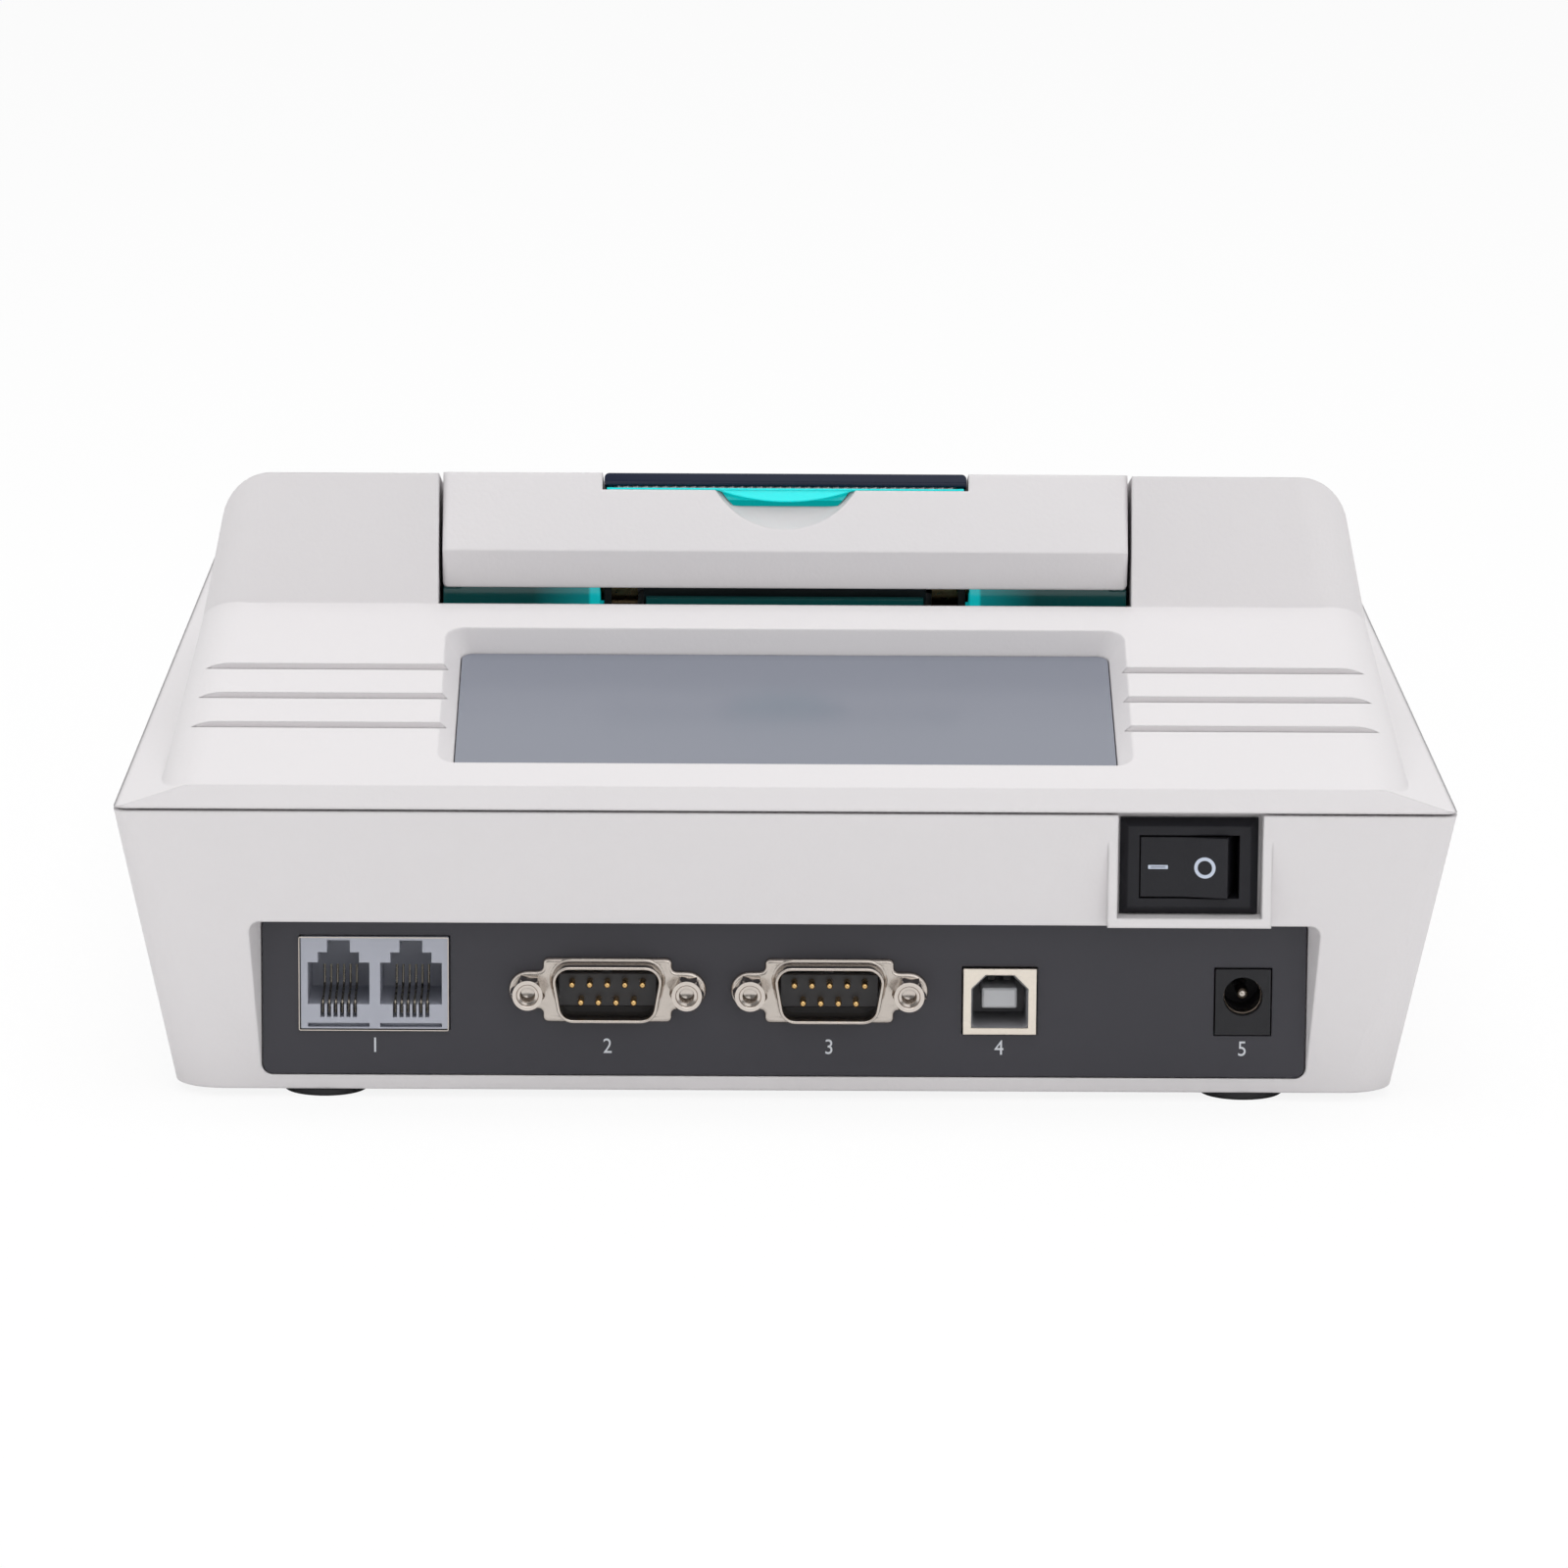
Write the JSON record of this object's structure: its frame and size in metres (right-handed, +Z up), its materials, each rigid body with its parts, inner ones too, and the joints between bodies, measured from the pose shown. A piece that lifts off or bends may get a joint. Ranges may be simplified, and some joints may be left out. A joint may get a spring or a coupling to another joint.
{
  "type": "ticket register",
  "caption": "Counter-top ticket register with printer bay and hinged paper lid, customer display deck, keypad, rocker switch and rear port panel.",
  "frame": {"origin": "centre of the footprint, on the surface that the feet stand on", "axes": "+Z up, +Y towards the customer and the rear ports, -Y towards the operator, +X to the operator's right"},
  "size_m": [0.2094, 0.258, 0.0926],
  "materials": {
    "case_plastic": "fine moulded texture",
    "plate_grey": "dark grey moulded plastic",
    "board_green": "solder mask",
    "jack_plastic": "light blue grey",
    "gold": "plated contacts",
    "nickel": "nickel plated sheet",
    "black_plastic": "black moulding",
    "rocker_black": "polished black",
    "smoked_window": "smoked acrylic",
    "display_glass": "display module",
    "teal_clear": "translucent teal",
    "navy_gloss": "polished dark blue",
    "steel": "rolled sheet and ground bar",
    "head_aluminium": "extruded",
    "brass": "turned",
    "rubber_black": "ground rubber",
    "gear_white": "moulded nylon",
    "mat_grey": "silicone",
    "key_light": "moulded",
    "key_grey": "moulded"
  },
  "bodies": {
    "case": {"base_shell": "case_plastic", "top_shell": "case_plastic", "port_plate": "plate_grey", "main_board": "board_green", "cash_jack_block": "jack_plastic", "jack_contacts": "gold", "serial_shells": "nickel", "serial_cores": "black_plastic", "serial_pins": "gold", "jackscrews": "nickel", "usb_shell": "nickel", "usb_core": "black_plastic", "power_jack": "black_plastic", "power_jack_pin": "nickel", "switch_body": "black_plastic", "customer_window": "smoked_window", "customer_display": "display_glass", "operator_window": "smoked_window", "operator_display": "display_glass", "printer_bay": "teal_clear", "hood": "case_plastic", "lid_hinge_pins": "steel", "printer_frame": "steel", "print_head": "head_aluminium", "head_springs": "steel", "platen_bushings": "brass", "feed_motor": "steel", "keypad_board": "board_green", "keypad_membrane": "mat_grey", "case_screws": "steel", "feet": "rubber_black"},
    "rocker": {"switch_rocker": "rocker_black"},
    "lid": {"paper_lid": "teal_clear", "lid_cap": "navy_gloss", "tear_bar": "steel"},
    "platen": {"platen_roller": "rubber_black", "platen_shaft": "steel", "platen_gear": "gear_white"},
    "idler": {"idler_gear": "gear_white"},
    "rotor": {"motor_pinion": "brass"},
    "key_clear": {"key_clear": "key_grey"},
    "key_menu": {"key_menu": "key_grey"},
    "key_plus": {"key_plus": "key_grey"},
    "key_minus": {"key_minus": "key_grey"},
    "key_times": {"key_times": "key_grey"},
    "key_7": {"key_7": "key_light"},
    "key_8": {"key_8": "key_light"},
    "key_9": {"key_9": "key_light"},
    "key_divide": {"key_divide": "key_grey"},
    "key_feed": {"key_feed": "key_grey"},
    "key_4": {"key_4": "key_light"},
    "key_5": {"key_5": "key_light"},
    "key_6": {"key_6": "key_light"},
    "key_percent": {"key_percent": "key_grey"},
    "key_sum": {"key_sum": "key_grey"},
    "key_1": {"key_1": "key_light"},
    "key_2": {"key_2": "key_light"},
    "key_3": {"key_3": "key_light"},
    "key_0": {"key_0": "key_light"},
    "key_point": {"key_point": "key_light"}
  },
  "joints": [
    {"name": "switch_tilt", "type": "hinge", "parent": "case", "child": "rocker", "pos_m": [-0.06315, 0.11745, 0.03915], "axis": [0, 0, 1], "range_deg": [0, 11]},
    {"name": "lid_hinge", "type": "hinge", "parent": "case", "child": "lid", "pos_m": [0, 0.0106, 0.07288], "axis": [1, 0, 0], "range_deg": [0, 90]},
    {"name": "platen_spin", "type": "hinge", "parent": "case", "child": "platen", "pos_m": [0, 0.062, 0.073], "axis": [1, 0, 0], "continuous": true},
    {"name": "idler_spin", "type": "hinge", "parent": "case", "child": "idler", "pos_m": [0.033, 0.05506, 0.06446], "axis": [1, 0, 0], "continuous": true},
    {"name": "motor_spin", "type": "hinge", "parent": "case", "child": "rotor", "pos_m": [0.033, 0.059, 0.0575], "axis": [1, 0, 0], "continuous": true},
    {"name": "key_clear_press", "type": "slide", "parent": "case", "child": "key_clear", "axis": [0, 0.1219, -0.9925], "range_m": [0, 0.0015], "stiffness_N_per_m": 120, "springref_m": -0.004},
    {"name": "key_menu_press", "type": "slide", "parent": "case", "child": "key_menu", "axis": [0, 0.1219, -0.9925], "range_m": [0, 0.0015], "stiffness_N_per_m": 120, "springref_m": -0.004},
    {"name": "key_plus_press", "type": "slide", "parent": "case", "child": "key_plus", "axis": [0, 0.1219, -0.9925], "range_m": [0, 0.0015], "stiffness_N_per_m": 120, "springref_m": -0.004},
    {"name": "key_minus_press", "type": "slide", "parent": "case", "child": "key_minus", "axis": [0, 0.1219, -0.9925], "range_m": [0, 0.0015], "stiffness_N_per_m": 120, "springref_m": -0.004},
    {"name": "key_times_press", "type": "slide", "parent": "case", "child": "key_times", "axis": [0, 0.1219, -0.9925], "range_m": [0, 0.0015], "stiffness_N_per_m": 120, "springref_m": -0.004},
    {"name": "key_7_press", "type": "slide", "parent": "case", "child": "key_7", "axis": [0, 0.1219, -0.9925], "range_m": [0, 0.0015], "stiffness_N_per_m": 120, "springref_m": -0.004},
    {"name": "key_8_press", "type": "slide", "parent": "case", "child": "key_8", "axis": [0, 0.1219, -0.9925], "range_m": [0, 0.0015], "stiffness_N_per_m": 120, "springref_m": -0.004},
    {"name": "key_9_press", "type": "slide", "parent": "case", "child": "key_9", "axis": [0, 0.1219, -0.9925], "range_m": [0, 0.0015], "stiffness_N_per_m": 120, "springref_m": -0.004},
    {"name": "key_divide_press", "type": "slide", "parent": "case", "child": "key_divide", "axis": [0, 0.1219, -0.9925], "range_m": [0, 0.0015], "stiffness_N_per_m": 120, "springref_m": -0.004},
    {"name": "key_feed_press", "type": "slide", "parent": "case", "child": "key_feed", "axis": [0, 0.1219, -0.9925], "range_m": [0, 0.0015], "stiffness_N_per_m": 120, "springref_m": -0.004},
    {"name": "key_4_press", "type": "slide", "parent": "case", "child": "key_4", "axis": [0, 0.1219, -0.9925], "range_m": [0, 0.0015], "stiffness_N_per_m": 120, "springref_m": -0.004},
    {"name": "key_5_press", "type": "slide", "parent": "case", "child": "key_5", "axis": [0, 0.1219, -0.9925], "range_m": [0, 0.0015], "stiffness_N_per_m": 120, "springref_m": -0.004},
    {"name": "key_6_press", "type": "slide", "parent": "case", "child": "key_6", "axis": [0, 0.1219, -0.9925], "range_m": [0, 0.0015], "stiffness_N_per_m": 120, "springref_m": -0.004},
    {"name": "key_percent_press", "type": "slide", "parent": "case", "child": "key_percent", "axis": [0, 0.1219, -0.9925], "range_m": [0, 0.0015], "stiffness_N_per_m": 120, "springref_m": -0.004},
    {"name": "key_sum_press", "type": "slide", "parent": "case", "child": "key_sum", "axis": [0, 0.1219, -0.9925], "range_m": [0, 0.0015], "stiffness_N_per_m": 120, "springref_m": -0.004},
    {"name": "key_1_press", "type": "slide", "parent": "case", "child": "key_1", "axis": [0, 0.1219, -0.9925], "range_m": [0, 0.0015], "stiffness_N_per_m": 120, "springref_m": -0.004},
    {"name": "key_2_press", "type": "slide", "parent": "case", "child": "key_2", "axis": [0, 0.1219, -0.9925], "range_m": [0, 0.0015], "stiffness_N_per_m": 120, "springref_m": -0.004},
    {"name": "key_3_press", "type": "slide", "parent": "case", "child": "key_3", "axis": [0, 0.1219, -0.9925], "range_m": [0, 0.0015], "stiffness_N_per_m": 120, "springref_m": -0.004},
    {"name": "key_0_press", "type": "slide", "parent": "case", "child": "key_0", "axis": [0, 0.1219, -0.9925], "range_m": [0, 0.0015], "stiffness_N_per_m": 120, "springref_m": -0.004},
    {"name": "key_point_press", "type": "slide", "parent": "case", "child": "key_point", "axis": [0, 0.1219, -0.9925], "range_m": [0, 0.0015], "stiffness_N_per_m": 120, "springref_m": -0.004}
  ],
  "couplings": [
    {"joint": "idler_spin", "follows": "platen_spin", "ratio": -1.2},
    {"joint": "motor_spin", "follows": "platen_spin", "ratio": 2}
  ]
}
